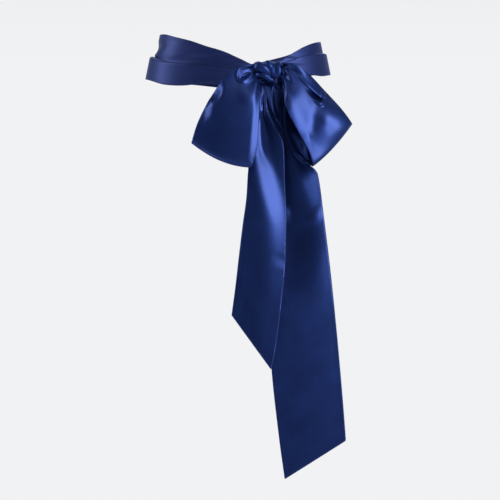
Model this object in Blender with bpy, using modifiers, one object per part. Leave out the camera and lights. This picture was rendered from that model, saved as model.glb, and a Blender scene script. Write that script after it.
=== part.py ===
"""A satin sash worn round a waist and tied in a bow at the front.

One long strip of double satin goes round the waist, is folded down to a narrow band and is tied
in a bow: a knot, two drooping loops and two tails cut on a slant. It is modelled as it is worn,
with nobody in it. Lengths are in millimetres until the last step. +Z is up, the bow is at -Y,
and the origin is the middle of the ring at the waist.
"""
import math

import bmesh
import bpy
from mathutils import Vector

MM = 0.001

# Driving sizes
STRIP_WIDTH = 90.0          # the finished strip, laid flat
WALL = 1.2                  # two layers of satin with the seam allowance between them
SEAM_GAP = 0.4              # free space between two stretches of the same strip
RING_HALF_WIDTH = 125.5     # inner layer of the band, at the waist line
RING_DEPTH_LOSS = 36.0      # how much less the ring measures front to back, at each half
RING_FLARE = 0.20           # the ring widens downwards, over the hips
LAYER_PITCH = 2.3           # from one layer of the pleat to the next
KNOT_ANGLE = 19.0           # where the knot sits on the ring, in degrees from the front
KNOT_CENTRE = Vector((44.0, -113.5, -29.0))
KNOT_HALF = Vector((22.0, 15.8, 17.0))
KNOT_ROUND = 0.8            # 1 is an ellipsoid, less is squarer
LOOP_GATHERS = 2.5          # waves across a loop where it leaves the knot
GATHER_HEIGHT = 3.0
CROWN = 2.5                 # how far a loop's front bulges between its edges
LEFT_END_BOW = 8.5          # how far a loop's folded end curves out between its corners
RIGHT_END_BOW = 4.5
SIDE_ANGLE = 100.0          # where the front stretches of the band meet the back one

# The band round the ring. Angles run from the front to the viewer's right. The fold is the top
# edge of its front layer, roll is that fold's radius, and out moves all the layers outwards.
#         angle   top   fold   bottom  roll  out
RING_ROWS = [
    (-100.0, 37.0, 5.0, -28.0, 2.4, -0.5),
    (-80.0, 36.0, 3.0, -30.0, 2.6, -0.5),
    (-65.0, 34.0, -3.0, -35.0, 2.6, 0.0),
    (-50.0, 28.0, -9.0, -42.0, 2.2, 0.0),
    (-35.0, 21.0, -13.0, -45.0, 1.8, 0.0),
    (-22.0, 12.0, -18.0, -43.0, 1.5, 0.0),
    (-10.0, 4.0, -22.0, -40.0, 1.3, 0.0),
    (2.0, -8.0, -25.0, -39.0, 1.2, 0.0),
    (11.0, -17.0, -26.0, -38.0, 1.2, 0.0),
    (19.0, -18.0, -25.0, -38.0, 1.2, 0.0),
    (27.0, -11.0, -15.0, -37.0, 1.2, 0.0),
    (36.0, -1.0, -8.0, -34.0, 1.2, 0.0),
    (49.0, 12.0, 0.0, -28.0, 1.3, 1.0),
    (62.0, 20.0, 5.0, -28.0, 1.4, 2.0),
    (75.0, 24.0, 7.0, -25.0, 1.4, 2.5),
    (90.0, 26.0, 8.0, -22.0, 1.4, 2.5),
    (105.0, 25.0, 7.0, -20.0, 1.6, 2.0),
    (125.0, 21.0, 2.0, -18.0, 2.0, 1.0),
    (150.0, 10.0, -7.0, -27.0, 2.2, 0.0),
    (180.0, 0.0, -13.0, -34.0, 2.2, 0.0),
    (208.0, 7.0, -9.0, -30.0, 2.2, 0.0),
    (235.0, 22.0, -3.0, -27.0, 2.3, 0.0),
    (260.0, 37.0, 5.0, -28.0, 2.4, -0.5),
]

# The part of the knot's outline that each loop leaves, in degrees anticlockwise from the right.
LEFT_LOOP_ROOT = (150.0, 224.0)
RIGHT_LOOP_ROOT = (38.0, -38.0)
SHORT_TAIL_ROOT = (233.0, 312.0)
LONG_TAIL_ROOT = (233.0, 316.0)
ROOT_GAP = 1.1              # from the knot's surface to the middle of a loop's wall
LOOP_REACH = 0.25           # share of a loop's length that the knot shapes
TAIL_REACH = 0.06           # and of a tail's

# The edges of each loop, from the knot out to its folded end. The back has an inner edge of its own.
#        along   outer x, z      inner x, z      back's inner x, z
LEFT_LOOP_ROWS = [
    (0.00, 18.0, -24.0, 27.5, -49.5, 27.5, -49.5),
    (0.12, 6.0, -23.0, 31.0, -56.0, 31.0, -56.0),
    (0.25, -9.0, -31.0, 31.0, -70.0, 31.0, -70.0),
    (0.40, -23.0, -44.0, 30.0, -87.0, 30.0, -87.0),
    (0.55, -36.0, -64.0, 29.0, -106.0, 29.0, -106.0),
    (0.70, -48.0, -86.0, 28.0, -126.0, 28.0, -126.0),
    (0.85, -58.0, -110.0, 26.0, -146.0, 26.0, -146.0),
    (1.00, -65.0, -134.0, 19.0, -169.0, 19.0, -169.0),
]
RIGHT_LOOP_ROWS = [
    (0.00, 69.0, -15.0, 68.0, -48.0, 68.0, -48.0),
    (0.12, 80.0, -18.0, 67.0, -60.0, 67.0, -60.0),
    (0.25, 92.0, -25.0, 67.0, -75.0, 67.0, -76.0),
    (0.40, 106.0, -37.0, 72.0, -91.0, 67.0, -94.0),
    (0.55, 120.0, -52.0, 80.0, -107.0, 68.0, -113.0),
    (0.70, 135.0, -68.0, 90.0, -126.0, 73.0, -133.0),
    (0.85, 149.0, -85.0, 100.0, -145.0, 83.0, -153.0),
    (1.00, 163.0, -105.0, 108.0, -166.0, 104.0, -167.0),
]

# A loop's path as seen from its side: out along the front, round the fold and back behind.
#        along  distance in front of the skirt line
LOOP_PATH = [
    (0.00, 23.0),
    (0.12, 32.0),
    (0.35, 43.0),
    (0.62, 45.0),
    (0.85, 38.0),
    (0.985, 29.0),
    (0.985, 21.0),
    (0.88, 16.5),
    (0.62, 16.0),
    (0.35, 16.0),
    (0.12, 13.0),
    (0.00, 11.0),
]

# The long edges of each tail, from the knot down to the slanted cut.
#       height    x
SHORT_LEFT_EDGE = [(-48.0, 32.0), (-97.0, 26.0), (-136.0, 20.0), (-169.0, 15.0), (-213.0, 12.0),
                   (-250.0, 7.0), (-292.0, 2.0), (-336.0, -3.0), (-374.0, -8.0)]
SHORT_RIGHT_EDGE = [(-48.0, 59.0), (-96.0, 61.0), (-143.0, 65.0), (-195.0, 66.0), (-240.0, 68.0),
                    (-264.0, 67.0), (-314.0, 65.0), (-384.0, 57.0), (-425.0, 51.0), (-447.0, 46.0)]
LONG_LEFT_EDGE = [(-49.0, 35.0), (-100.0, 43.0), (-168.0, 42.0), (-250.0, 40.0), (-350.0, 42.0),
                  (-448.0, 47.0), (-540.0, 57.0), (-591.0, 64.0)]
LONG_RIGHT_EDGE = [(-49.0, 64.0), (-78.0, 70.0), (-128.0, 78.0), (-147.0, 82.0),
                   (-159.0, 92.0), (-169.0, 107.0), (-178.0, 113.0), (-233.0, 120.0),
                   (-328.0, 130.0), (-410.0, 137.0), (-493.0, 143.0), (-542.0, 146.0)]

# Folds of each loop's front, as seen from the front: a ridge is above 0 and a tuck below.
#        from x, z       to x, z         half width  height
LEFT_LOOP_FOLDS = [
    (25.0, -52.0, 24.0, -124.0, 7.0, 4.5),
    (-2.0, -33.0, 11.0, -38.0, 6.5, -6.0),
    (-17.0, -43.0, -43.0, -93.0, 9.0, 2.5),
]
RIGHT_LOOP_FOLDS = [
    (86.0, -51.0, 90.0, -78.0, 12.0, 4.0),
    (90.0, -78.0, 101.0, -142.0, 13.0, 4.5),
    (84.0, -36.0, 116.0, -70.0, 8.0, -9.0),
    (120.0, -99.0, 120.0, -100.0, 15.0, -4.0),
]

# The knot's gathers run down its front and meet below its middle.
KNOT_FOLDS = [
    (27.0, -27.0, 43.0, -41.0, 3.6, -2.6),
    (38.0, -16.0, 46.0, -40.0, 3.4, -2.4),
    (50.0, -14.0, 49.0, -40.0, 3.4, -2.8),
    (61.0, -20.0, 53.0, -40.0, 3.6, -2.6),
]

# Soft folds that run down a tail: place across it, half width, height at the top and at the cut.
#        across  half width  top   cut
SHORT_FOLDS = [
    (0.20, 0.13, 4.5, 0.6),
    (0.74, 0.26, 10.0, 5.5),
]
LONG_FOLDS = [
    (0.22, 0.14, 4.0, 0.3),
    (0.52, 0.13, 4.5, 0.6),
    (0.84, 0.13, 5.0, 0.8),
]
SHORT_STAND = (9.0, 12.0)   # distance in front of the skirt line at the left and right edge
LONG_STAND = (4.5, 5.0)

SATIN = (0.030, 0.060, 0.260, 1.0)
SATIN_SHADED = (0.022, 0.040, 0.170, 1.0)


def track(rows, at, column=1):
    """A smooth curve through one column of a table, read at a value of its first column."""
    keys = [row[0] for row in rows]
    values = [row[column] for row in rows]
    last = len(keys) - 1
    if at <= keys[0] and keys[0] < keys[last] or at >= keys[0] and keys[0] > keys[last]:
        return values[0]
    i = 0
    while i < last - 1 and (at - keys[i + 1]) * (keys[last] - keys[0]) > 0:
        i += 1

    def slope(k):
        low, high = max(k - 1, 0), min(k + 1, last)
        return (values[high] - values[low]) / (keys[high] - keys[low])

    step = keys[i + 1] - keys[i]
    t = min(1.0, (at - keys[i]) / step)
    ease = 3 * t ** 2 - 2 * t ** 3
    return (values[i] * (1 - ease) + values[i + 1] * ease
            + step * (t ** 3 - 2 * t ** 2 + t) * slope(i)
            + step * (t ** 3 - t ** 2) * slope(i + 1))


def along_path(rows, s):
    """A point on the smooth curve through a table's rows, by its share of the rows passed."""
    spread = [(i / (len(rows) - 1),) + tuple(row) for i, row in enumerate(rows)]
    return track(spread, s, 1), track(spread, s, 2)


def hump(distance):
    """A smooth bump, 1 in its middle and 0 from a distance of 1."""
    return 0.5 * (1 + math.cos(math.pi * min(1.0, abs(distance))))


def skirt_line(x, z):
    """The depth that the bow hangs over, which slopes forward below the waist."""
    below = max(0.0, -(z + 35.0))
    front = 100.0 + 0.36 * below + 22.0 * (1 - math.exp(-below / 60.0))
    half_width = 150.0 + 0.9 * below
    return -front * math.sqrt(max(0.0, 1 - (x / half_width) ** 2))


def ring_point(angle, z, out):
    """A point of the band: angle round the ring, height, and distance outside its inner layer."""
    near_knot = hump((angle - KNOT_ANGLE) / 42.0)
    crease = 0.9 * near_knot * math.sin(0.62 * z + 0.05 * angle)
    half_width = RING_HALF_WIDTH - RING_FLARE * z + out + crease
    turn = math.radians(angle)
    return Vector((half_width * math.sin(turn),
                   -(half_width - RING_DEPTH_LOSS) * math.cos(turn), z))


def arc(centre, radius, first, last, count):
    """Points (height, out) between two directions of a small circle, ends left out."""
    turns = [first + (last - first) * (i + 1) / (count + 1) for i in range(count)]
    return [(centre[0] + radius * math.sin(t), centre[1] - radius * math.cos(t)) for t in turns]


def pleat_section(angle):
    """The band's cross-section: down the upper layer, back up behind, and down the front layer."""
    top, fold, bottom = (track(RING_ROWS, angle, column) for column in (1, 2, 3))
    roll, shift = (track(RING_ROWS, angle, column) for column in (4, 5))
    tuck = max(bottom + 5.0, (top + 2 * fold - bottom - STRIP_WIDTH) / 2)
    half_pitch = LAYER_PITCH / 2
    front = LAYER_PITCH + 2 * roll
    section = [(top + (tuck - top) * i / 3, 0.0) for i in range(4)]
    section += arc((tuck, half_pitch), half_pitch, 0, -math.pi, 2)
    rise = fold - roll
    section += [(tuck, LAYER_PITCH), (rise, LAYER_PITCH)]
    section += arc((rise, LAYER_PITCH + roll), roll, 0, math.pi, 3)
    section += [(rise + (bottom - rise) * i / 3, front) for i in range(4)]
    return [(z, out + shift) for z, out in section]


def band_rows(first, last, steps):
    """The band's grid from one angle of the ring to another."""
    angles = [first + (last - first) * i / steps for i in range(steps + 1)]
    return [[ring_point(a, z, out) for z, out in pleat_section(a)] for a in angles]


def fold_height(folds, x, z):
    """How far a sheet stands out at a place, from the folds that pass near it."""
    height = 0.0
    for x0, z0, x1, z1, half_width, rise in folds:
        run_x, run_z = x1 - x0, z1 - z0
        share = ((x - x0) * run_x + (z - z0) * run_z) / (run_x ** 2 + run_z ** 2)
        share = min(1.0, max(0.0, share))
        distance = math.hypot(x - x0 - share * run_x, z - z0 - share * run_z)
        height += rise * hump(distance / half_width)
    return height


def knot_shape(side):
    """A point of the smooth knot, from its direction: a rounded block, narrower at lower left."""
    block = Vector([math.copysign(abs(c) ** KNOT_ROUND, c) for c in side])
    narrow = 0.35 if block.x < 0 else 0.10
    block.x *= 1 - narrow * max(0.0, -block.z)
    return Vector([block[k] * KNOT_HALF[k] for k in range(3)])


def knot_outline(degrees):
    """A point just outside the knot's outline as seen from the front."""
    turn = math.radians(degrees)
    side = Vector((math.cos(turn), 0.0, math.sin(turn)))
    point = KNOT_CENTRE + knot_shape(side) + side * ROOT_GAP
    point.y = 0.0
    return point


def loop_point(rows, root, folds, s, across, bow):
    """A point of a loop: s runs out along the front, round the end and back behind."""
    along, stand = along_path(LOOP_PATH, s)
    outer = Vector((track(rows, along, 1), 0.0, track(rows, along, 2)))
    inner = Vector((track(rows, along, 3), 0.0, track(rows, along, 4)))
    back_inner = Vector((track(rows, along, 5), 0.0, track(rows, along, 6)))
    turned = 0.5 - 0.5 * math.cos(math.pi * min(1.0, max(0.0, (s - 0.4) / 0.2)))
    point = outer.lerp(inner.lerp(back_inner, turned), across)
    point.z -= bow * along ** 2 * 4 * across * (1 - across)
    hold = max(0.0, 1 - along / LOOP_REACH) ** 2
    point = point.lerp(knot_outline(root[0] + (root[1] - root[0]) * across), hold)
    wave = math.cos(2 * math.pi * LOOP_GATHERS * across)
    front = hump(s / 0.5) ** 0.5
    stand += (1 - along) ** 1.5 * GATHER_HEIGHT * wave
    stand += front * (fold_height(folds, point.x, point.z) + CROWN * along * math.sin(math.pi * across))
    point.y = skirt_line(point.x, point.z) - stand
    return point


def loop_rows(rows, root, folds, bow, steps=26, columns=13):
    return [[loop_point(rows, root, folds, i / steps, j / columns, bow)
             for j in range(columns + 1)] for i in range(steps + 1)]


def tail_point(left, right, root, folds, stand, down, across):
    """A point of a tail: down runs from the knot to the cut, across from its left edge."""
    left_z = left[0][0] + (left[-1][0] - left[0][0]) * down
    right_z = right[0][0] + (right[-1][0] - right[0][0]) * down
    x = track(left, left_z) * (1 - across) + track(right, right_z) * across
    z = left_z * (1 - across) + right_z * across
    under = knot_outline(root[0] + (root[1] - root[0]) * across)
    hold = max(0.0, 1 - down / TAIL_REACH) ** 2
    x += (under.x - x) * hold
    z += (under.z - z) * hold
    out = stand[0] + (stand[1] - stand[0]) * across
    for place, half, top, cut in folds:
        out += (cut + (top - cut) * (1 - down) ** 3) * hump((across - place) / half)
    return Vector((x, skirt_line(x, z) - out, z))


def tail_rows(left, right, root, folds, stand, steps=20, columns=14):
    return [[tail_point(left, right, root, folds, stand, i / steps, j / columns)
             for j in range(columns + 1)] for i in range(steps + 1)]


def satin(name, colour):
    material = bpy.data.materials.new(name)
    material.use_nodes = True
    shader = material.node_tree.nodes["Principled BSDF"]
    shader.inputs["Base Color"].default_value = colour
    shader.inputs["Roughness"].default_value = 0.35
    shader.inputs["Metallic"].default_value = 0.0
    material.diffuse_color = colour
    return material


def place(name, mesh, material):
    mesh.materials.append(material)
    mesh.shade_smooth()
    piece = bpy.data.objects.new(name, mesh)
    collection.objects.link(piece)
    return piece


def cloth(name, rows, material):
    """A sheet of cloth: a flat grid moved to its rows of points, with the wall on both sides."""
    long, wide = len(rows) - 1, len(rows[0]) - 1
    form = bmesh.new()
    bmesh.ops.create_grid(form, x_segments=long, y_segments=wide, size=1.0)
    for vert in form.verts:
        i = round((vert.co.x + 1) / 2 * long)
        j = round((vert.co.y + 1) / 2 * wide)
        vert.co = rows[i][j] * MM
    mesh = bpy.data.meshes.new(name)
    form.to_mesh(mesh)
    form.free()
    piece = place(name, mesh, material)
    wall = piece.modifiers.new("wall", "SOLIDIFY")
    wall.thickness = WALL * MM
    wall.offset = 0.0
    return piece


def knot(name, material):
    """The knot: the wraps that the photograph hides share one rounded solid with its gathers."""
    form = bmesh.new()
    bmesh.ops.create_uvsphere(form, u_segments=44, v_segments=20, radius=1.0)
    for vert in form.verts:
        facing = max(0.0, -vert.co.y)
        point = KNOT_CENTRE + knot_shape(vert.co)
        point.y -= fold_height(KNOT_FOLDS, point.x, point.z) * facing
        vert.co = point * MM
    mesh = bpy.data.meshes.new(name)
    form.to_mesh(mesh)
    form.free()
    return place(name, mesh, material)


def make_bands():
    """The band's three stretches, from the knot round each side and across the back."""
    half_gap = math.degrees(SEAM_GAP / 2 / RING_HALF_WIDTH)
    for name, first, last, steps in (
        ("band_left", KNOT_ANGLE - half_gap, -SIDE_ANGLE + half_gap, 19),
        ("band_right", KNOT_ANGLE + half_gap, SIDE_ANGLE - half_gap, 13),
        ("band_back", SIDE_ANGLE + half_gap, 360.0 - SIDE_ANGLE - half_gap, 18),
    ):
        cloth(name, band_rows(first, last, steps), satin(name, SATIN_SHADED))


def make_loops():
    for name, rows, root, folds, bow in (
        ("loop_left", LEFT_LOOP_ROWS, LEFT_LOOP_ROOT, LEFT_LOOP_FOLDS, LEFT_END_BOW),
        ("loop_right", RIGHT_LOOP_ROWS, RIGHT_LOOP_ROOT, RIGHT_LOOP_FOLDS, RIGHT_END_BOW),
    ):
        cloth(name, loop_rows(rows, root, folds, bow), satin(name, SATIN))


def make_tails():
    for name, left, right, root, folds, stand in (
        ("tail_short", SHORT_LEFT_EDGE, SHORT_RIGHT_EDGE, SHORT_TAIL_ROOT, SHORT_FOLDS, SHORT_STAND),
        ("tail_long", LONG_LEFT_EDGE, LONG_RIGHT_EDGE, LONG_TAIL_ROOT, LONG_FOLDS, LONG_STAND),
    ):
        cloth(name, tail_rows(left, right, root, folds, stand), satin(name, SATIN))


for old in list(bpy.data.objects):
    bpy.data.objects.remove(old, do_unlink=True)
collection = bpy.data.collections.new("satin_sash")
bpy.context.scene.collection.children.link(collection)
make_bands()
knot("knot", satin("knot", SATIN))
make_loops()
make_tails()
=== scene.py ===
# %% [markdown]
# # A satin sash, tied in a bow and worn at the waist
#
# The real thing is one long strip of double satin, 90 mm wide. It goes round the waist, where it
# is folded down to a narrower band. At the front it is tied in a bow with two drooping loops, a
# knot and two tails that are cut on a slant. It keeps the hollow shape that it has when worn.
#
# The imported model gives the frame: metres, +Z up, the bow at -Y, and the origin in the middle of
# the ring at the waist. Every sheet here is worked out in millimetres from short tables and
# turned into metres once, when its mesh is made.

import math

import bmesh
import bpy
import numpy as np
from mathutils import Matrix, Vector


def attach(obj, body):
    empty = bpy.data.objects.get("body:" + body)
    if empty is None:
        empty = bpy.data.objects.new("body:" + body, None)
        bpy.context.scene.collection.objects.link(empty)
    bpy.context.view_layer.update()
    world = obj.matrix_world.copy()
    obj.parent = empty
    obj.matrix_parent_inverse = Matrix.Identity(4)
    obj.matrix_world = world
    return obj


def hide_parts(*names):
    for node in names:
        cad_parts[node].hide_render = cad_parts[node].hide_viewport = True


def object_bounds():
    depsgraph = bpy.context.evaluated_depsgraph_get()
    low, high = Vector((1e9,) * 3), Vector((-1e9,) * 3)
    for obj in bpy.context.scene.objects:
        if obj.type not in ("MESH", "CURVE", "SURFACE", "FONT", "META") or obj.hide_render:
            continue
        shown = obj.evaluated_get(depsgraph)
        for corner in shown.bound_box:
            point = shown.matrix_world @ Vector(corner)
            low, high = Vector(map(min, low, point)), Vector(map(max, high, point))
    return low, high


MM = 0.001
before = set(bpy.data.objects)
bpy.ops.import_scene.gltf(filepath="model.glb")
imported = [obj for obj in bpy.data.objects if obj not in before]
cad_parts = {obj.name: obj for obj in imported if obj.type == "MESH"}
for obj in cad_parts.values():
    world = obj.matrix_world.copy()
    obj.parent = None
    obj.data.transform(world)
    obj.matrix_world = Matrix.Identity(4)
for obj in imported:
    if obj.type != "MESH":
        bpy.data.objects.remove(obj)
cad_box = [[float(value) for value in corner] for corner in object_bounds()]
collection = bpy.context.scene.collection
size = [round(1000 * (high - low)) for low, high in zip(*cad_box)]
print("the solids measure", size, "mm")

# %% [markdown]
# ## The camera
#
# The photograph was taken from the front, level, with no visible tilt: the far side of the band
# hides behind the near one, so the lens was well below the waist line. A long lens 3 m away
# gives the same flat perspective. The camera comes first, so that every later look is from the
# right place.

# %% A level camera below the waist line
CAMERA_PLACE = (0.0172, -3.0, -0.285)     # m
CAMERA_LENS = 144.0         # mm
SENSOR_WIDTH = 36.0         # mm

camera = bpy.data.objects.new("camera", bpy.data.cameras.new("camera"))
camera.location = CAMERA_PLACE
camera.rotation_euler = (math.pi / 2, 0.0, 0.0)
camera.data.lens = CAMERA_LENS
camera.data.sensor_width = SENSOR_WIDTH
collection.objects.link(camera)
bpy.context.scene.camera = camera
print("camera at", tuple(camera.location), "with a", CAMERA_LENS, "mm lens")

# %% [markdown]
# ## Writing node maths as expressions
#
# A material's pattern is a little sum of noises and masks. Placing its nodes by hand hides the
# sum, so a socket is wrapped in a small class whose operators add Math nodes. An expression such
# as `0.3 + 0.1 * grain` then reads as what it is. The trees that make geometry use it too.

# %% A socket that can be added and multiplied
class Socket:
    """A node's socket with Python's operators, each of which adds one Math node."""

    def __init__(self, tree, link):
        self.tree, self.link = tree, link

    def node(self, kind, settings=None, inputs=None, output=0):
        """Any node: its settings first, then its sockets' values or links."""
        made = self.tree.nodes.new(kind)
        for key, value in (settings or {}).items():
            setattr(made, key, value)
        for key, value in (inputs or {}).items():
            if isinstance(value, Socket):
                self.tree.links.new(value.link, made.inputs[key])
            elif value is not None:
                made.inputs[key].default_value = value
        return Socket(self.tree, made.outputs[output])

    def maths(self, operation, first, second=None):
        """One Math node, with a number or a socket on either side."""
        return self.node("ShaderNodeMath", {"operation": operation}, {0: first, 1: second})

    def __add__(self, other):
        return self.maths("ADD", self, other)

    def __radd__(self, other):
        return self.maths("ADD", other, self)

    def __sub__(self, other):
        return self.maths("SUBTRACT", self, other)

    def __rsub__(self, other):
        return self.maths("SUBTRACT", other, self)

    def __mul__(self, other):
        return self.maths("MULTIPLY", self, other)

    def __rmul__(self, other):
        return self.maths("MULTIPLY", other, self)

    def smooth(self, low, high):
        """0 below low, 1 above high, and a smooth step between."""
        return self.node("ShaderNodeMapRange", {"interpolation_type": "SMOOTHSTEP"},
                         {"Value": self, "From Min": low, "From Max": high})

    def mix_colour(self, low, high):
        """One colour where this is 0 and another where it is 1."""
        return self.node("ShaderNodeMix", {"data_type": "RGBA"},
                         {0: self, 6: low, 7: high}, output=2)


def start_material(name):
    """A new material, its Principled shader, and a socket to build from."""
    material = bpy.data.materials.new(name)
    material.use_nodes = True
    shader = material.node_tree.nodes["Principled BSDF"]
    return material, shader, Socket(material.node_tree, None)


def feed(shader, name, value):
    """A link into one of the shader's sockets."""
    value.tree.links.new(value.link, shader.inputs[name])


print("node maths is ready")

# %% [markdown]
# ## The room and its light
#
# Satin is dark where it mirrors the dark part of a room and bright where it mirrors a lamp, so
# its folds only read when the room has both. Here the walls are pale and even, the ceiling is
# dim, and a few soft boxes stand round the sash. The key box is high on the right, so the parts
# of the cloth that turn to the right light up and the rest stays deep blue, as in the photograph.

# %% A pale room with a dim ceiling
WALL_LIGHT = 0.90           # how bright the walls are, and the ceiling
CEILING_LIGHT = 0.16
WALL_TOP = (0.08, 0.50)     # where the walls give way to the ceiling, as the sine of the height
ROOM_TINT = (0.98, 0.985, 1.0, 1.0)

world = bpy.data.worlds.new("pale_room")
world.use_nodes = True
sky = Socket(world.node_tree, None)
direction = sky.node("ShaderNodeTexCoord")
height = sky.node("ShaderNodeSeparateXYZ", inputs={0: direction}, output=2)
light = height.smooth(*WALL_TOP) * (CEILING_LIGHT - WALL_LIGHT) + WALL_LIGHT
background = world.node_tree.nodes["Background"]
background.inputs["Color"].default_value = ROOM_TINT
feed(background, "Strength", light)
bpy.context.scene.world = world
bpy.context.scene.view_settings.view_transform = "Standard"
print("walls", WALL_LIGHT, "ceiling", CEILING_LIGHT)

# %% Soft boxes round the sash
#   name, how far round and how high (degrees), distance (m), width and height (m), brightness
SOFT_BOXES = [
    ("key_box", 56.0, 38.0, 2.9, (1.2, 2.3), 12.0),
    ("left_box", -98.0, 34.0, 2.6, (0.7, 2.0), 7.6),
    ("top_box", 10.0, 76.0, 2.3, (1.0, 0.6), 1.6),
    ("low_box", -52.0, -13.0, 2.4, (0.9, 0.6), 4.0),
    ("back_right_box", 160.0, 34.0, 2.8, (0.9, 1.2), 2.4),
    ("back_left_box", -160.0, 38.0, 2.8, (1.0, 1.0), 2.4),
]
AIM = Vector((0.02, -0.13, -0.22))      # m, the place that every box faces

for name, side, lift, distance, (wide, high), brightness in SOFT_BOXES:
    turn, rise = math.radians(side), math.radians(lift)
    away = Vector((math.sin(turn) * math.cos(rise), -math.cos(turn) * math.cos(rise),
                   math.sin(rise)))
    lamp = bpy.data.lights.new(name, "AREA")
    lamp.shape = "RECTANGLE"
    lamp.size, lamp.size_y = wide, high
    lamp.energy = brightness * math.pi * wide * high
    box = bpy.data.objects.new(name, lamp)
    box.location = AIM + away * distance
    box.rotation_euler = away.to_track_quat("Z", "Y").to_euler()
    box.visible_camera = False
    collection.objects.link(box)
print(len(SOFT_BOXES), "soft boxes")

# %% [markdown]
# ## The floor
#
# A plain matt floor, as far below the sash as it is under a waist. It fades out at its rim, so
# it has no edge against the walls in the views from above.

# %% The floor and its finish
FLOOR_HEIGHT = -1.03        # m, a waist is about this high above the floor
FLOOR_REACH = 3.4           # m
FLOOR_FADE = (1.3, 3.2)     # m from its middle, over which it fades out
FLOOR_DARK = (0.76, 0.77, 0.79, 1)
FLOOR_PALE = (0.80, 0.81, 0.83, 1)

floor_paint, floor_shader, start = start_material("matt_floor")
coords = start.node("ShaderNodeTexCoord", output=3)
mottle = start.node("ShaderNodeTexNoise", inputs={"Vector": coords, "Scale": 3.0, "Detail": 4.0})
feed(floor_shader, "Base Color", mottle.mix_colour(FLOOR_DARK, FLOOR_PALE))
from_middle = start.node("ShaderNodeVectorMath", {"operation": "LENGTH"}, {0: coords}, output=1)
feed(floor_shader, "Alpha", 1 - from_middle.smooth(*FLOOR_FADE))
floor_shader.inputs["Roughness"].default_value = 0.8

floor_form = bmesh.new()
bmesh.ops.create_circle(floor_form, cap_ends=True, segments=96, radius=FLOOR_REACH)
bmesh.ops.translate(floor_form, verts=floor_form.verts, vec=(0.0, 0.0, FLOOR_HEIGHT))
floor_mesh = bpy.data.meshes.new("floor")
floor_form.to_mesh(floor_mesh)
floor_form.free()
floor_mesh.materials.append(floor_paint)
floor = bpy.data.objects.new("floor", floor_mesh)
collection.objects.link(floor)
print("the floor is", -1000 * FLOOR_HEIGHT, "mm below the waist")

# %% [markdown]
# ## Satin
#
# Satin is woven so that long threads float on its face. That gives three things to copy. The
# face mirrors light softly and in its own colour, so the shader is partly metallic. Fine floats
# run along the strip and show as a hair-fine grain. And the cloth is never quite flat: it
# carries shallow ripples, more of them beside the sewn edges, where the seam draws it in. The
# grain and the ripples follow the sheet's own map, which is in metres along and across the strip.
# The stretch round the waist is the same cloth, handled and pressed flatter, so it is duller. A
# side that is turned under is pressed dull, and it is also given the deep colour throughout: that
# is painted shade, which darkens the gap beside a tail's turned fold.

# %% What all the satin shares
SATIN_DEEP = (0.0066, 0.0185, 0.096, 1.0)
SATIN_FACE = (0.0092, 0.0245, 0.124, 1.0)
BAND_DEEP = (0.0095, 0.0170, 0.080, 1.0)
BAND_FACE = (0.0125, 0.0215, 0.098, 1.0)
STRIP = 0.090               # m, the width of the finished strip
SATIN_GLOSS = {
    "Specular IOR Level": 0.5,
    "Specular Tint": (0.40, 0.50, 0.80, 1.0),
    "Coat Roughness": 0.24,
    "Sheen Weight": 0.03,
    "Sheen Roughness": 0.4,
    "Sheen Tint": (0.30, 0.42, 1.0, 1.0),
}
# Each pattern's scale across and along the strip, its detail, and its height in metres.
FLOATS = ((5200, 420, 5200), 2.0, 0.000012)
RIPPLES = ((46, 17, 46), 2.0, 0.00016)
SLUBS = ((900, 14, 900), 3.0, 0.000010)
PUCKERS = ((60, 330, 1), 2.0, 0.00022)
PUCKER_REACH = (0.007, 0.001)           # m from an edge, where the puckers begin and are full
TONE_SCALE = 24.0
TONE_SHARE = 0.62           # of the colour's unevenness; the slubs give the rest
TONE_RANGE = (0.30, 0.70)   # where the deep colour ends and the face's is full
ROUGH_TONE = 0.10           # how far the roughness follows the tone
ROUGH_GRAIN = 0.09          # and the grain


def pattern(place, scale, detail, height):
    """A noise drawn out along the strip, and the same noise as a height."""
    drawn = place.node("ShaderNodeMapping", inputs={"Vector": place, "Scale": scale})
    noise = place.node("ShaderNodeTexNoise",
                       inputs={"Vector": drawn, "Scale": 1.0, "Detail": detail})
    return noise, height * noise


print("the strip is", 1000 * STRIP, "mm wide, with", len(SATIN_GLOSS), "shared settings")

# %% One recipe for satin, bright or duller
def make_satin(name, deep, face, rough, metal, gloss, mapped=True):
    """Satin: colour, soft gloss, float grain and ripples.

    Mapped cloth has a map along the strip. The knot's skin has none and takes its own places.
    """
    material, shader, start = start_material(name)
    if mapped:
        place = start.node("ShaderNodeUVMap", {"uv_map": "strip"})
    else:
        place = start.node("ShaderNodeTexCoord", output=3)
    tone = start.node("ShaderNodeTexNoise",
                      inputs={"Vector": place, "Scale": TONE_SCALE, "Detail": 5.0})
    grain, grain_height = pattern(place, *FLOATS)
    _, ripple_height = pattern(place, *RIPPLES)
    slub, slub_height = pattern(place, *SLUBS)

    colour = (TONE_SHARE * tone + (1 - TONE_SHARE) * slub).smooth(*TONE_RANGE)
    feed(shader, "Base Color", colour.mix_colour(deep, face))
    feed(shader, "Roughness", rough + ROUGH_TONE * (tone - 0.5) + ROUGH_GRAIN * (grain - 0.5))
    height = grain_height + ripple_height + slub_height
    if mapped:
        across = start.node("ShaderNodeSeparateXYZ", inputs={0: place})
        from_middle = start.maths("ABSOLUTE", across - STRIP / 2)
        beside_seam = from_middle.smooth(*(STRIP / 2 - reach for reach in PUCKER_REACH))
        height = height + beside_seam * pattern(place, *PUCKERS)[1]
    bump = start.node("ShaderNodeBump",
                      inputs={"Height": height, "Strength": 1.0, "Distance": 1.0})
    feed(shader, "Normal", bump)
    for socket, value in {**SATIN_GLOSS, "Metallic": metal, "Coat Weight": gloss}.items():
        shader.inputs[socket].default_value = value
    material.diffuse_color = face
    return material


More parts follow.
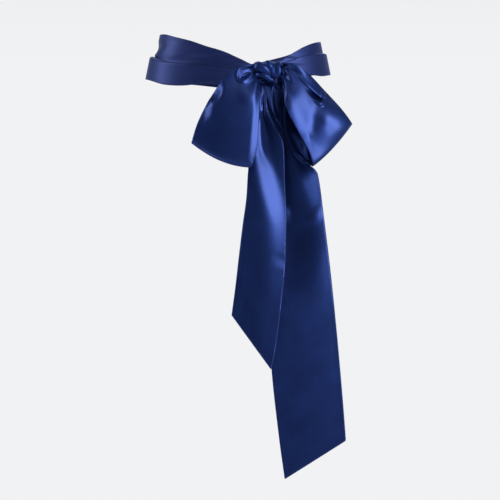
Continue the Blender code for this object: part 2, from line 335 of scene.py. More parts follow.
satin = make_satin("satin", SATIN_DEEP, SATIN_FACE, rough=0.38, metal=0.80, gloss=0.12)
satin_knot = make_satin("satin_knot", SATIN_DEEP, SATIN_FACE, rough=0.40, metal=0.80, gloss=0.05,
                        mapped=False)
satin_band = make_satin("satin_band", BAND_DEEP, BAND_FACE, rough=0.43, metal=0.66, gloss=0.03)
# The turned-under side: dull and in the deep colour only, which is painted shade along the fold.
satin_painted_shade = make_satin("satin_painted_shade", SATIN_DEEP, SATIN_DEEP, rough=0.75, metal=0.20,
                          gloss=0.0)
print("four finishes of the same cloth")

# %% [markdown]
# ## Reading a shape from a table
#
# Each edge and fold of the sash is a short table of places that a tailor could mark with pins.
# A smooth curve through each column gives the shape between the pins. The solids were drawn from
# tables of the same kind; here the grids are finer and the folds are all there.

# %% Smooth curves through a table
def track(rows, at, column=1):
    """A smooth curve through one column of a table, read at values of its first column."""
    table = sorted(rows)
    keys = np.array([row[0] for row in table], float)
    values = np.array([row[column] for row in table], float)
    low = np.maximum(np.arange(len(keys)) - 1, 0)
    high = np.minimum(np.arange(len(keys)) + 1, len(keys) - 1)
    slopes = (values[high] - values[low]) / (keys[high] - keys[low])
    at = np.clip(at, keys[0], keys[-1])
    i = np.clip(np.searchsorted(keys, at, side="right") - 1, 0, len(keys) - 2)
    step = keys[i + 1] - keys[i]
    t = (at - keys[i]) / step
    ease = 3 * t ** 2 - 2 * t ** 3
    return (values[i] * (1 - ease) + values[i + 1] * ease
            + step * (t ** 3 - 2 * t ** 2 + t) * slopes[i]
            + step * (t ** 3 - t ** 2) * slopes[i + 1])


def hump(distance):
    """A smooth bump, 1 in its middle and 0 from a distance of 1."""
    return 0.5 * (1 + np.cos(np.pi * np.minimum(1.0, np.abs(distance))))


def smooth(value, low, high):
    """0 below low, 1 above high, and a smooth step between."""
    t = np.clip((value - low) / (high - low), 0.0, 1.0)
    return t * t * (3 - 2 * t)


print("half way up a hump it is", round(float(hump(0.5)), 2))

# %% [markdown]
# ## Folds given one by one
#
# A fold is a line of places as seen from the front, with its own width on each side and its own
# height at each place. A ridge stands out and a tuck goes in. A narrow side next to a wide one
# makes a crease that is steep on one side, which is what catches the light on satin.

# %% How far the folds lift a sheet
FOLD_STEPS = 10             # steps between two rows of a fold
FOLD_SOFT = 0.5             # mm, over which the two sides of a fold pass into each other
NEAREST_FIRST = 12.0        # the power by which a step counts less, the further away it is


def fold_lift(fold, x, z):
    """The lift of one fold. Its rows are x, z, left width, right width and height.

    Left and right are the viewer's, on a fold whose rows run downwards.
    """
    count = len(fold) - 1
    keyed = [(i,) + tuple(row) for i, row in enumerate(fold)]
    at = np.linspace(0.0, count, count * FOLD_STEPS + 1)
    rows = np.stack([track(keyed, at, column) for column in range(1, 6)], axis=-1).tolist()
    total, lift = np.zeros(x.shape), np.zeros(x.shape)
    for (x0, z0, l0, r0, h0), (x1, z1, l1, r1, h1) in zip(rows, rows[1:]):
        run_x, run_z = x1 - x0, z1 - z0
        length = math.hypot(run_x, run_z)
        share = np.clip(((x - x0) * run_x + (z - z0) * run_z) / length ** 2, 0.0, 1.0)
        off_x, off_z = x - x0 - share * run_x, z - z0 - share * run_z
        side = (off_z * run_x - off_x * run_z) / length
        right = smooth(side, -FOLD_SOFT, FOLD_SOFT)
        width = (l0 + (l1 - l0) * share) * (1 - right) + (r0 + (r1 - r0) * share) * right
        distance = np.hypot(off_x, off_z)
        weight = (distance + FOLD_SOFT) ** -NEAREST_FIRST
        total += weight
        lift += weight * (h0 + (h1 - h0) * share) * hump(distance / width)
    return lift / total


def swell_lift(swells, x, z):
    """The lift of round swells: each has its middle x and z, its reach both ways, its height."""
    return sum(height * hump(np.hypot((x - middle_x) / reach_x, (z - middle_z) / reach_z))
               for middle_x, middle_z, reach_x, reach_z, height in swells)


def fold_field(folds, x, z):
    """The lift of all of a sheet's folds together."""
    return sum((fold_lift(fold, x, z) for fold in folds), np.zeros(x.shape))


print("each fold has", FOLD_STEPS, "steps between its rows")

# %% A soft unevenness for hanging cloth
DRAPE_WAVES = 5             # waves that cross each other


def drape_noise(x, z, size, seed):
    """A smooth, uneven swell between -1 and 1, the same on every run."""
    swell = np.zeros(x.shape)
    for i in range(DRAPE_WAVES):
        turn = 2.4 * i + 1.7 * seed     # each wave runs its own way
        along = (x * math.cos(turn) + z * math.sin(turn)) / size
        swell += np.sin(along * (1 + 0.37 * i) + 2.1 * turn)
    return swell / DRAPE_WAVES


print("the drape is a sum of", DRAPE_WAVES, "waves")

# %% [markdown]
# ## From rows of points to cloth
#
# A sheet is a grid whose vertices are set to computed points. Solidify gives it the thickness of
# two layers of satin. Its map runs in metres along and across the strip, so the grain keeps its
# real size wherever the cloth is gathered or spread.

# %% Making one sheet of cloth
CLOTH = 1.1                 # mm, two layers of satin
pieces = {}


def strip_map(points):
    """Distances in mm across and along a grid of points, evened out over the sheet."""
    across = np.linalg.norm(np.diff(points, axis=1), axis=2).mean(axis=0)
    along = np.linalg.norm(np.diff(points, axis=0), axis=2).mean(axis=1)
    u = np.concatenate([[0.0], np.cumsum(across)])
    v = np.concatenate([[0.0], np.cumsum(along)])
    return np.broadcast_arrays(u[None, :] * (1000 * STRIP / u[-1]), v[:, None])


def grid_mesh(name, points, material, painted_shade_mask=None):
    """A mesh of quads over a grid of points, with its map along the strip.

    Where the mask is true, the faces take a dull finish in the deep colour: painted shade on a
    fold.
    """
    long, wide = points.shape[:2]
    index = np.arange(long * wide).reshape(long, wide)
    quads = np.stack([index[:-1, :-1], index[:-1, 1:], index[1:, 1:], index[1:, :-1]], axis=-1)
    mesh = bpy.data.meshes.new(name)
    mesh.from_pydata((points.reshape(-1, 3) * MM).tolist(), [], quads.reshape(-1, 4).tolist())
    u, v = strip_map(points)
    corners = quads.reshape(-1)
    layer = mesh.uv_layers.new(name="strip")
    flat = np.stack([u.reshape(-1)[corners], v.reshape(-1)[corners]], axis=-1) * MM
    layer.uv.foreach_set("vector", flat.reshape(-1).astype(np.float32))
    mesh.materials.append(material)
    if painted_shade_mask is not None:
        mesh.materials.append(satin_painted_shade)
        painted_shade_quads = painted_shade_mask.reshape(-1)[quads.reshape(-1, 4)].any(axis=1)
        mesh.polygons.foreach_set("material_index", painted_shade_quads.astype(np.int32))
    mesh.shade_smooth()
    return mesh


def add_cloth(name, points, material, painted_shade_mask=None):
    """A sheet with the wall of the sewn strip on both sides of its points."""
    piece = bpy.data.objects.new(name, grid_mesh(name, points, material, painted_shade_mask))
    collection.objects.link(piece)
    wall = piece.modifiers.new("wall", "SOLIDIFY")
    wall.thickness = CLOTH * MM
    wall.offset = 0.0
    pieces[name] = piece
    print(name, "has", points.shape[0], "x", points.shape[1], "points")


# %% [markdown]
# ## The slope that the bow hangs over
#
# The bow and the tails don't fall straight down. They lean forward as they fall, as if over a
# wide cone. One surface says how far forward that is at each height, and each sheet then stands
# a stated distance in front of it.

# %% The hanging slope
SLOPE_TOP = -35.0           # mm, the height below which the cloth leans forward
SLOPE_BEND = 16.0           # mm, how gently it starts to lean
SLOPE_FRONT = 100.0         # mm forward at the waist
SLOPE_LEAN = 0.36           # mm forward for each mm down
SLOPE_STEP = 22.0           # mm more, most of it
SLOPE_STEP_DROP = 60.0      # within this drop
SLOPE_HALF_WIDTH = 150.0    # mm at the waist
SLOPE_SPREAD = 0.9          # mm wider on each side for each mm down


def hang_line(x, z):
    """The depth of the slope at a place as seen from the front; forward is negative."""
    drop = SLOPE_TOP - z
    below = 0.5 * (drop + np.sqrt(drop ** 2 + SLOPE_BEND ** 2))
    step = SLOPE_STEP * (1 - np.exp(-below / SLOPE_STEP_DROP))
    front = SLOPE_FRONT + SLOPE_LEAN * below + step
    half_width = SLOPE_HALF_WIDTH + SLOPE_SPREAD * below
    return -front * np.sqrt(np.maximum(0.0, 1 - (x / half_width) ** 2))


print("at the tails' ends the slope is", round(-float(hang_line(70.0, -590.0))), "mm forward")

# %% [markdown]
# ## The band round the waist
#
# Round the waist the strip is pleated in three layers. The innermost runs down from the upper
# edge to a tuck, the next comes up again to a fold, and the outer one rolls over that fold and
# hangs in front. From the side it looks like a flat S. The pleat is narrow next to the knot,
# where the strip is pulled together, and opens towards the sides. That section is drawn for each
# angle of the ring and swept round it.

# %% The band's pleat, angle by angle
LAYER_PITCH = 2.3           # mm from the innermost layer to the next
TUCK_CLEAR = 5.0            # mm, the least height of the tuck above the lower edge
INNER_POINTS, TURN_POINTS, MIDDLE_POINTS, OUTER_POINTS = 24, 9, 14, 26
# Each row: the angle in degrees, 0 in front and more to the right, then mm for the rest.
#         angle   top   fold   bottom  roll  out
RING_ROWS = [
    (-100.0, 37.0, 5.0, -28.0, 2.4, -0.5),
    (-80.0, 36.0, 3.0, -30.0, 3.2, -0.5),
    (-65.0, 34.0, -3.0, -35.0, 2.8, 0.0),
    (-50.0, 28.0, -9.0, -42.0, 2.6, 0.0),
    (-35.0, 21.0, -13.0, -45.0, 2.6, 0.0),
    (-22.0, 12.0, -18.0, -43.0, 2.5, 0.0),
    (-10.0, 4.0, -22.0, -40.0, 2.0, 0.0),
    (2.0, -8.0, -25.0, -39.0, 1.2, 0.0),
    (11.0, -17.0, -26.0, -38.0, 1.2, 0.0),
    (19.0, -18.0, -25.0, -38.0, 1.2, 0.0),
    (27.0, -11.0, -15.0, -37.0, 1.2, 0.0),
    (36.0, -1.0, -8.0, -34.0, 1.2, 0.0),
    (49.0, 12.0, 0.0, -28.0, 1.3, 1.0),
    (62.0, 20.0, 5.0, -28.0, 1.4, 2.0),
    (75.0, 24.0, 7.0, -25.0, 1.4, 2.5),
    (90.0, 26.0, 8.0, -22.0, 1.4, 2.5),
    (105.0, 25.0, 7.0, -20.0, 1.6, 2.0),
    (125.0, 21.0, 2.0, -18.0, 2.0, 1.0),
    (150.0, 10.0, -7.0, -27.0, 2.2, 0.0),
    (180.0, 0.0, -13.0, -34.0, 2.2, 0.0),
    (208.0, 7.0, -9.0, -30.0, 2.2, 0.0),
    (235.0, 22.0, -3.0, -27.0, 2.3, 0.0),
    (260.0, 37.0, 5.0, -28.0, 2.4, -0.5),
]


def pleat_section(angle):
    """The pleat at one angle: heights, distances outwards, and shares of the way."""
    top, fold, bottom, roll, shift = (float(track(RING_ROWS, angle, k)) for k in range(1, 6))
    tuck = max(bottom + TUCK_CLEAR, (top + 2 * fold - bottom - 1000 * STRIP) / 2)
    half_pitch = LAYER_PITCH / 2
    rise = fold - roll
    turn = np.linspace(0.0, np.pi, TURN_POINTS)
    parts = [
        (np.linspace(top, tuck, INNER_POINTS), np.zeros(INNER_POINTS)),
        (tuck - half_pitch * np.sin(turn), half_pitch - half_pitch * np.cos(turn)),
        (np.linspace(tuck, rise, MIDDLE_POINTS), np.full(MIDDLE_POINTS, LAYER_PITCH)),
        (rise + roll * np.sin(turn), LAYER_PITCH + roll - roll * np.cos(turn)),
        (np.linspace(rise, bottom, OUTER_POINTS), np.full(OUTER_POINTS, LAYER_PITCH + 2 * roll)),
    ]
    heights = np.concatenate([parts[0][0]] + [part[0][1:] for part in parts[1:]])
    outs = np.concatenate([parts[0][1]] + [part[1][1:] for part in parts[1:]])
    return heights, outs + shift, np.linspace(0.0, 1.0, len(heights))


print("the pleat's section has", len(pleat_section(0.0)[0]), "points")

# %% The ring, its creases and its three stretches
RING_HALF_WIDTH = 125.5     # mm at the waist line
RING_DEPTH_LOSS = 36.0      # mm that its half depth is less than its half width
RING_FLARE = 0.20           # mm wider on each side for each mm down
KNOT_ANGLE = 19.0           # degrees round the ring, where the front stretches meet
SIDE_ANGLE = 100.0          # degrees, where they meet the back one
SEAM_GAP = 0.4              # mm between two stretches
CREASE_HEIGHT = 0.9         # mm, of the fine creases beside the knot
CREASE_REACH = 42.0         # degrees to each side of the knot
CREASE_RATE = 0.62          # radians of their wave for each mm of height
CREASE_DRIFT = 0.05         # and for each degree round the ring
UPPER_LAYER = (0.24, 0.30)  # shares of the section over which its upper layer ends
# Dents and small folds in the upper layer, at the left side of the ring.
#    angle  reach, degrees  height  reach, mm  stand
BAND_DENTS = [
    (-82.0, 22.0, 18.0, 11.0, -2.6),
    (-80.0, 26.0, 6.0, 4.5, 1.8),
    (-60.0, 20.0, 22.0, 9.0, -0.8),
    (-38.0, 34.0, -6.0, 9.0, -1.6),
]


def band_points(first, last, steps):
    """The band's grid from one angle of the ring to another, with its small creases."""
    rows = []
    for angle in np.linspace(first, last, steps + 1):
        z, out, share = pleat_section(angle)
        near_knot = float(hump((angle - KNOT_ANGLE) / CREASE_REACH))
        crease = CREASE_HEIGHT * near_knot * np.sin(CREASE_RATE * z + CREASE_DRIFT * angle)
        upper = 1 - smooth(share, *UPPER_LAYER)
        for middle, reach, height, half, stand in BAND_DENTS:
            dent = float(hump((angle - middle) / reach)) * hump((z - height) / half)
            crease = crease + stand * upper * dent
        half_width = RING_HALF_WIDTH - RING_FLARE * z + out + crease
        turn = math.radians(angle)
        rows.append(np.stack([half_width * math.sin(turn),
                              -(half_width - RING_DEPTH_LOSS) * math.cos(turn), z], axis=-1))
    return np.array(rows)


half_gap = math.degrees(SEAM_GAP / 2 / RING_HALF_WIDTH)
for name, first, last, steps in (
    ("sash_band_left", KNOT_ANGLE - half_gap, half_gap - SIDE_ANGLE, 220),
    ("sash_band_right", KNOT_ANGLE + half_gap, SIDE_ANGLE - half_gap, 150),
    ("sash_band_back", SIDE_ANGLE + half_gap, 360.0 - SIDE_ANGLE - half_gap, 200),
):
    add_cloth(name, band_points(first, last, steps), satin_band)

# %% [markdown]
# ## The knot's outline
#
# The loops and tails all leave the knot, so the knot's outline as seen from the front comes
# first. It is a rounded block, narrower at its lower left. Each sheet's top edge lies along a
# stated part of that outline.

# %% The block that the knot fills
KNOT_X, KNOT_Z = 44.0, -29.0            # mm, the block's middle
KNOT_HALF_WIDTH = 22.0
KNOT_HALF_HEIGHT = 17.0
KNOT_ROUND = 0.8            # 1 is an ellipse, less is blockier
KNOT_NARROWING = (0.35, 0.10)           # how much narrower its foot is, at the left and the right
ROOT_GAP = 1.1              # mm from the knot to the sheets that leave it


def knot_outline(degrees):
    """Places just outside the knot as seen from the front, as x and z."""
    turn = np.radians(degrees)
    side_x, side_z = np.cos(turn), np.sin(turn)
    block_x = np.sign(side_x) * np.abs(side_x) ** KNOT_ROUND
    block_z = np.sign(side_z) * np.abs(side_z) ** KNOT_ROUND
    block_x = block_x * (1 - np.where(block_x < 0, *KNOT_NARROWING) * np.maximum(0.0, -block_z))
    return (KNOT_X + KNOT_HALF_WIDTH * block_x + ROOT_GAP * side_x,
            KNOT_Z + KNOT_HALF_HEIGHT * block_z + ROOT_GAP * side_z)


print("the knot's lowest place is", round(float(knot_outline(270.0)[1])), "mm")

# %% [markdown]
# ## The two loops
#
# A loop is a stretch of the strip that runs out from the knot, turns over at its end and comes
# back behind. Its front bulges, because the strip is stiff enough to stand off, and it is drawn
# together into a fan of gathers where it enters the knot. The left loop hangs dark and almost
# smooth, with a turned pocket near the knot and a soft roll down its inner edge. The right one
# has a deep tuck, a bright ridge and a dimple. A simulation would give a bow, but not this one,
# so the folds are given one by one.

# %% The loops' edges and path
LEFT_LOOP_ROOT = (150.0, 224.0)         # degrees round the knot's outline, outer to inner edge
RIGHT_LOOP_ROOT = (38.0, -38.0)
#        along   outer x, z      inner x, z      back's inner x, z
LEFT_LOOP_ROWS = [
    (0.00, 18.0, -24.0, 27.5, -49.5, 27.5, -49.5),
    (0.12, 6.0, -23.0, 31.0, -56.0, 31.0, -56.0),
    (0.25, -9.0, -31.0, 31.0, -70.0, 31.0, -70.0),
    (0.40, -23.0, -44.0, 30.0, -87.0, 30.0, -87.0),
    (0.55, -36.0, -64.0, 29.0, -106.0, 29.0, -106.0),
    (0.70, -48.0, -86.0, 28.0, -126.0, 28.0, -126.0),
    (0.85, -58.0, -110.0, 26.0, -146.0, 26.0, -146.0),
    (1.00, -65.0, -134.0, 19.0, -169.0, 19.0, -169.0),
]
RIGHT_LOOP_ROWS = [
    (0.00, 69.0, -15.0, 68.0, -48.0, 68.0, -48.0),
    (0.12, 80.0, -18.0, 67.0, -60.0, 67.0, -60.0),
    (0.25, 92.0, -25.0, 67.0, -75.0, 67.0, -76.0),
    (0.40, 106.0, -37.0, 72.0, -91.0, 67.0, -94.0),
    (0.55, 120.0, -52.0, 80.0, -107.0, 68.0, -113.0),
    (0.70, 135.0, -68.0, 90.0, -126.0, 73.0, -133.0),
    (0.85, 149.0, -85.0, 100.0, -145.0, 83.0, -153.0),
    (1.00, 163.0, -105.0, 108.0, -166.0, 104.0, -167.0),
]
#        along  distance in front of the hanging slope
LOOP_PATH = [
    (0.00, 26.5),
    (0.10, 35.5),
    (0.28, 41.0),
    (0.52, 42.5),
    (0.80, 40.0),
    (0.985, 34.0),
    (0.985, 23.0),
    (0.88, 16.5),
    (0.62, 16.0),
    (0.35, 16.0),
    (0.12, 13.0),
    (0.00, 11.0),
]
print("a loop is drawn from", len(LEFT_LOOP_ROWS), "rows and", len(LOOP_PATH), "places on its way")

# %% The loops' folds
# Each fold's rows: x, z, left width, right width, height.
LEFT_LOOP_FOLDS = [
    # the inner edge rolls back, so a strip beside it turns to the light
    [(33, -52, 10, 5, -1.2), (33, -75, 12, 5, -2.8), (32, -100, 13, 5, -3.3),
     (30, -130, 14, 6, -3.8), (25, -158, 12, 6, -2.0)],
    # the outer edge falls back in two places near the knot
    [(-33, -42, 6, 12, -2.0), (-35, -52, 6, 18, -11.0), (-37, -64, 6, 17, -10.0),
     (-40, -73, 6, 12, -2.0)],
    [(-45, -70, 6, 12, -1.0), (-49, -80, 6, 18, -7.0), (-52, -94, 6, 18, -5.0),
     (-58, -106, 6, 10, 0.0)],
    # the turned pocket: its hollow, then the rim round its lower side
    [(23, -28, 4, 8, -1.0), (14, -33, 4, 8, -3.6), (7, -37, 4, 7, -2.8)],
    [(1, -28, 4, 3, 0.6), (-1.5, -35, 4, 3, 1.8), (0.5, -42, 4, 3, 2.0), (7, -45, 4, 4, 1.8),
     (14, -41, 4, 4, 0.5)],
]
# The left loop swells softly under its pocket.
LEFT_LOOP_SWELLS = [(15.0, -62.0, 20.0, 26.0, 2.2)]
RIGHT_LOOP_FOLDS = [
    # the column of light: the flank of a ridge along the inner edge
    [(66, -50, 6, 20, 1.6), (67, -66, 6, 26, 3.8), (70, -86, 7, 30, 5.2), (79, -106, 8, 30, 4.4),
     (91, -130, 9, 26, 1.4), (102, -152, 9, 20, 0.4)],
    # the tuck: a step along its upper side, its hollow, and the lip under it
    [(86, -34, 4, 12, 0.4), (92, -42, 4, 18, 2.0), (101, -51, 5, 24, 3.6), (110, -60, 5, 22, 4.0),
     (118, -65, 4, 12, 2.0)],
    [(98, -54, 4, 5, 0.0), (106, -62, 6, 5, -4.0), (111, -67, 8, 6, -8.0), (116, -71, 6, 5, -7.0)],
    [(103, -68, 3, 8, 1.0), (112, -74, 4, 10, 4.0), (118, -77, 4.5, 10, 5.4),
     (122.5, -73, 4, 7, 5.2), (123.5, -64, 4, 6, 3.4), (120, -54, 4, 4, 0.6)],
    # the shoulder along the outer edge, near the knot
    [(82, -23, 8, 8, 0.2), (94, -31, 8, 8, 1.2), (106, -42, 8, 6, 1.0), (118, -54, 6, 5, 0.4)],
    # the rim round the dimple: its inner side turns away from the light
    [(129, -68, 22, 26, 1.4), (131, -80, 29, 40, 7.0), (131, -95, 31, 48, 9.0),
     (126, -110, 28, 44, 7.0), (114, -121, 23, 34, 3.8), (101, -125, 15, 24, 0.8)],
]
# The right loop's outer corner bends forward, in two swells, and so does its upper part.
RIGHT_LOOP_SWELLS = [
    (172.0, -103.0, 75.0, 64.0, 11.0),
    (174.0, -98.0, 50.0, 50.0, 8.0),
    (92.0, -55.0, 60.0, 84.0, 9.0),
]
# The right loop hangs open at its lower side, and shows the crumpled inside of its back.
RIGHT_BACK_FOLDS = [
    [(80, -116, 8, 5, 1.0), (90, -126, 13, 5, 6.0), (97, -135, 14, 5, 11.0),
     (100, -149, 12, 5, 5.0), (104, -160, 6, 4, 1.0)],
    [(84, -148, 3, 3, 0.8), (90, -153, 3, 3, 1.8), (95, -158, 3, 3, 0.4), (100, -162, 3, 3, 1.8)],
]
print(len(LEFT_LOOP_FOLDS), "folds on the left loop,", len(RIGHT_LOOP_FOLDS), "on the right one")

# %% The two loops, gathered at the knot
LOOP_REACH = 0.25           # share of a loop's length over which it spreads from the knot
LOOP_GATHERS = 2.5          # waves across it at the knot
GATHER_HEIGHT = 3.0         # mm
GATHER_REACH = 0.45         # share of its length over which they open out
CROWN = 2.5                 # mm that its middle stands out at the far end
LOOP_DRAPE = (0.35, 16.0)   # mm, the height and the size of its unevenness
# Shares of the way out and back: where the front's folds end, and where the back's begin.
FRONT_ENDS = (0.45, 0.54)
BACK_BEGINS = (0.50, 0.60)
TURN_FROM = 0.4             # from here, the inner edge passes to the back's own line
TURN_OVER = 0.2             # and takes this much of the way


def loop_points(rows, root, folds, swells, back_folds, bow, steps=240, columns=110):
    """A loop's grid: out along the front, round the end and back behind.

    Its far end hangs down between its corners by bow, in mm.
    """
    path = [(i / (len(LOOP_PATH) - 1),) + row for i, row in enumerate(LOOP_PATH)]
    way = np.linspace(0.0, 1.0, steps + 1)[:, None]
    across = np.linspace(0.0, 1.0, columns + 1)[None, :]
    along, stand = track(path, way, 1), track(path, way, 2)
    turned = 0.5 - 0.5 * np.cos(np.pi * np.clip((way - TURN_FROM) / TURN_OVER, 0.0, 1.0))
    place = []
    for axis in (0, 1):
        outer, inner, back = (track(rows, along, 1 + axis + 2 * k) for k in range(3))
        far = inner + (back - inner) * turned
        place.append(outer + (far - outer) * across)
    x, z = place
    z = z - bow * along ** 2 * 4 * across * (1 - across)
    hold = np.maximum(0.0, 1 - along / LOOP_REACH) ** 2
    root_x, root_z = knot_outline(root[0] + (root[1] - root[0]) * across)
    x, z = x + (root_x - x) * hold, z + (root_z - z) * hold
    wave = np.cos(2 * np.pi * LOOP_GATHERS * across)
    front = 1 - smooth(way, *FRONT_ENDS)
    stand = stand + np.maximum(0.0, 1 - along / GATHER_REACH) ** 2 * GATHER_HEIGHT * wave
    crown = CROWN * along * np.sin(np.pi * across)
    stand = stand + front * (fold_field(folds, x, z) + swell_lift(swells, x, z) + crown)
    stand = stand + smooth(way, *BACK_BEGINS) * fold_field(back_folds, x, z)
    stand = stand + LOOP_DRAPE[0] * along * drape_noise(x, z, LOOP_DRAPE[1], bow)
    return np.stack([x, hang_line(x, z) - stand, z], axis=-1)


for name, *shape in (
    ("bow_loop_left", LEFT_LOOP_ROWS, LEFT_LOOP_ROOT, LEFT_LOOP_FOLDS, LEFT_LOOP_SWELLS, [], 8.5),
    ("bow_loop_right", RIGHT_LOOP_ROWS, RIGHT_LOOP_ROOT, RIGHT_LOOP_FOLDS, RIGHT_LOOP_SWELLS,
     RIGHT_BACK_FOLDS, 4.5),
):
    add_cloth(name, loop_points(*shape), satin)

# %% [markdown]
# ## The two tails
#
# The tails leave the knot from below, gathered to a third of their width, and spread as they
# fall. Both are cut on a slant. The short one hangs in front. Its right side is turned under, so
# its right edge is a fold that stands off the long tail and leaves a dark gap; the turned side also
# takes a dull finish in the deep colour, painted shade that darkens that gap. The long one is
# almost flat at its cut.

# %% The tails' edges
SHORT_TAIL_ROOT = (233.0, 312.0)        # degrees round the knot's outline, left to right
LONG_TAIL_ROOT = (233.0, 316.0)
#                  height    x
SHORT_LEFT_EDGE = [(-48.0, 32.0), (-97.0, 26.0), (-136.0, 20.0), (-169.0, 15.0), (-213.0, 12.0),
                   (-250.0, 7.0), (-292.0, 2.0), (-336.0, -3.0), (-374.0, -8.0)]
SHORT_RIGHT_EDGE = [(-48.0, 59.0), (-96.0, 61.0), (-143.0, 65.0), (-195.0, 66.0), (-240.0, 68.0),
                    (-264.0, 67.0), (-314.0, 65.0), (-384.0, 57.0), (-425.0, 51.0), (-447.0, 46.0)]
LONG_LEFT_EDGE = [(-49.0, 35.0), (-100.0, 43.0), (-168.0, 42.0), (-250.0, 40.0), (-350.0, 42.0),
                  (-448.0, 47.0), (-540.0, 57.0), (-591.0, 64.0)]
LONG_RIGHT_EDGE = [(-49.0, 64.0), (-78.0, 70.0), (-128.0, 78.0), (-147.0, 82.0),
                   (-159.0, 92.0), (-169.0, 107.0), (-178.0, 113.0), (-233.0, 120.0),
                   (-328.0, 130.0), (-410.0, 137.0), (-493.0, 143.0), (-542.0, 146.0)]
SHORT_STAND = (10.0, 14.5)              # mm in front of the slope, at the left and right edges
LONG_STAND = (3.5, 7.0)
print("the short tail ends at", SHORT_RIGHT_EDGE[-1][0], "mm and the long one at",
      LONG_LEFT_EDGE[-1][0], "mm")

# %% The tails' folds
# Each fold's rows: x, z, left width, right width, height.
SHORT_FOLDS = [
    # the broad ridge whose right flank turns to the light, running down to the right
    [(28, -100, 20, 5, 1.0), (25, -122, 24, 9, 3.0), (23, -145, 30, 15, 5.4),
     (23, -172, 40, 32, 9.0), (27, -200, 44, 38, 11.0), (33, -230, 46, 40, 10.4),
     (36, -260, 46, 42, 7.4), (36, -300, 44, 44, 5.2), (32, -350, 40, 44, 3.2),
     (26, -410, 34, 40, 1.4)],
    # the crest that runs down to the right; its left side is the dark hollow
    [(34.5, -52, 3, 5, 1.0), (39, -75, 4, 6, 3.0), (43, -92, 8, 6, 4.0), (50, -106, 13, 7, 5.0),
     (60, -125, 20, 6, 6.4), (64, -139, 22, 6, 6.4), (67, -156, 20, 6, 4.0),
     (69, -176, 16, 6, 0.6)],
    # the sliver beside the left loop
    [(30, -52, 4, 5, 1.6), (31, -70, 4, 6, 2.6), (31, -84, 4, 5, 1.0)],
    # the swell above the crest
    [(41, -48, 3, 9, 2.0), (44, -66, 3, 10, 4.6), (48.5, -84, 3, 9, 4.4), (55, -98, 3, 5, 2.0)],
    # dents at the right edge
    [(46, -294, 16, 12, 0.0), (58, -298, 16, 12, -0.7), (68, -302, 14, 12, -1.2)],
    # the long edge on the left lifts a little
    [(12, -230, 5, 7, 0.4), (8, -290, 5, 8, 0.9), (3, -350, 5, 8, 0.7), (-2, -372, 5, 7, 0.4)],
]
LONG_FOLDS = [
    # the crest at its upper right edge
    [(68, -70, 3, 4, 1.0), (73, -100, 3.5, 4, 2.0), (78, -128, 4, 4, 2.2), (84, -147, 6, 4, 2.2),
     (96, -160, 8, 5, 1.6), (108, -170, 8, 6, 0.8)],
    # the slope beside the short tail faces away from the light
    [(52, -120, 20, 22, -4.0), (54, -160, 20, 34, -8.0), (57, -200, 20, 40, -11.0),
     (60, -235, 20, 50, -12.0), (64, -270, 20, 60, -13.0), (66, -298, 20, 54, -9.0),
     (66, -325, 20, 44, -4.0), (64, -350, 20, 34, 0.0)],
    [(64, -222, 6, 12, 0.0), (66, -233, 6, 12, 2.8), (67, -250, 6, 12, 0.0)],
    # two soft diagonal swells
    [(124, -218, 12, 12, 0.0), (110, -236, 12, 14, 1.8), (92, -250, 12, 14, 0.0)],
    [(134, -256, 36, 44, 1.0), (124, -286, 50, 56, 4.6), (106, -316, 54, 60, 5.0),
     (82, -338, 44, 54, 2.4), (60, -350, 30, 34, 0.0)],
]
print(len(SHORT_FOLDS), "folds on the short tail,", len(LONG_FOLDS), "on the long one")

# %% Gathers at the top, and a side turned under
# Each gather: its place across and its half width, as shares of the tail's width, and its height.
LONG_GATHERS = [(0.12, 0.12, 1.6), (0.34, 0.13, 2.4), (0.58, 0.12, 2.4), (0.84, 0.14, 2.6)]
SHORT_GATHERS = [(0.10, 0.12, 1.6), (0.36, 0.13, 1.4), (0.64, 0.13, 1.6), (0.90, 0.12, 1.8)]
GATHERS_FADE = (0.01, 0.16)     # shares of a tail's length over which its gathers open out
TAIL_REACH = 0.06               # share of its length over which it spreads from the knot
TAIL_DRAPE = (0.5, 24.0)        # mm, the height and the size of its unevenness
#              height   width turned under at the right side
SHORT_TURNED = [(-48.0, 3.0), (-100.0, 8.0), (-200.0, 9.0), (-250.0, 16.0), (-310.0, 22.0),
                (-450.0, 23.0)]
LONG_TURNED = [(-150.0, 0.0), (-450.0, 0.0)]
TURN_RADIUS = 0.7               # mm
TURN_WIDTH = 8.0                # mm turned under, from which the turn has all of that radius
TURN_STEP = 3.0                 # mm that the turned side's cut sits above the front's
PAINTED_SHADE_FROM = 0.02              # how far round the turn the dull, deep-coloured finish begins: painted shade


def turn_radius(turned):
    """The radius of the turn, which grows with the width that is turned under."""
    return TURN_RADIUS * smooth(turned, 0.0, TURN_WIDTH)


def turn_under(left_x, right_x, turned, share):
    """Where a share of the strip's width lies when its right side is turned under.

    Gives x, and how far round the turn the place is: 0 in front and 1 behind.
    """
    radius = turn_radius(turned) + 0.01     # never quite 0, because it is divided by
    quarter = np.pi * radius / 2
    past = share * (right_x - left_x + turned) - (right_x - left_x)
    angle = np.pi / 2 * (1 + np.clip(past / quarter, -1.0, 1.0))
    flat = np.maximum(0.0, np.abs(past) - quarter)
    return right_x - radius + radius * np.sin(angle) - flat, (1 - np.cos(angle)) / 2


print("the short tail has", SHORT_TURNED[-1][1], "mm turned under at its cut")

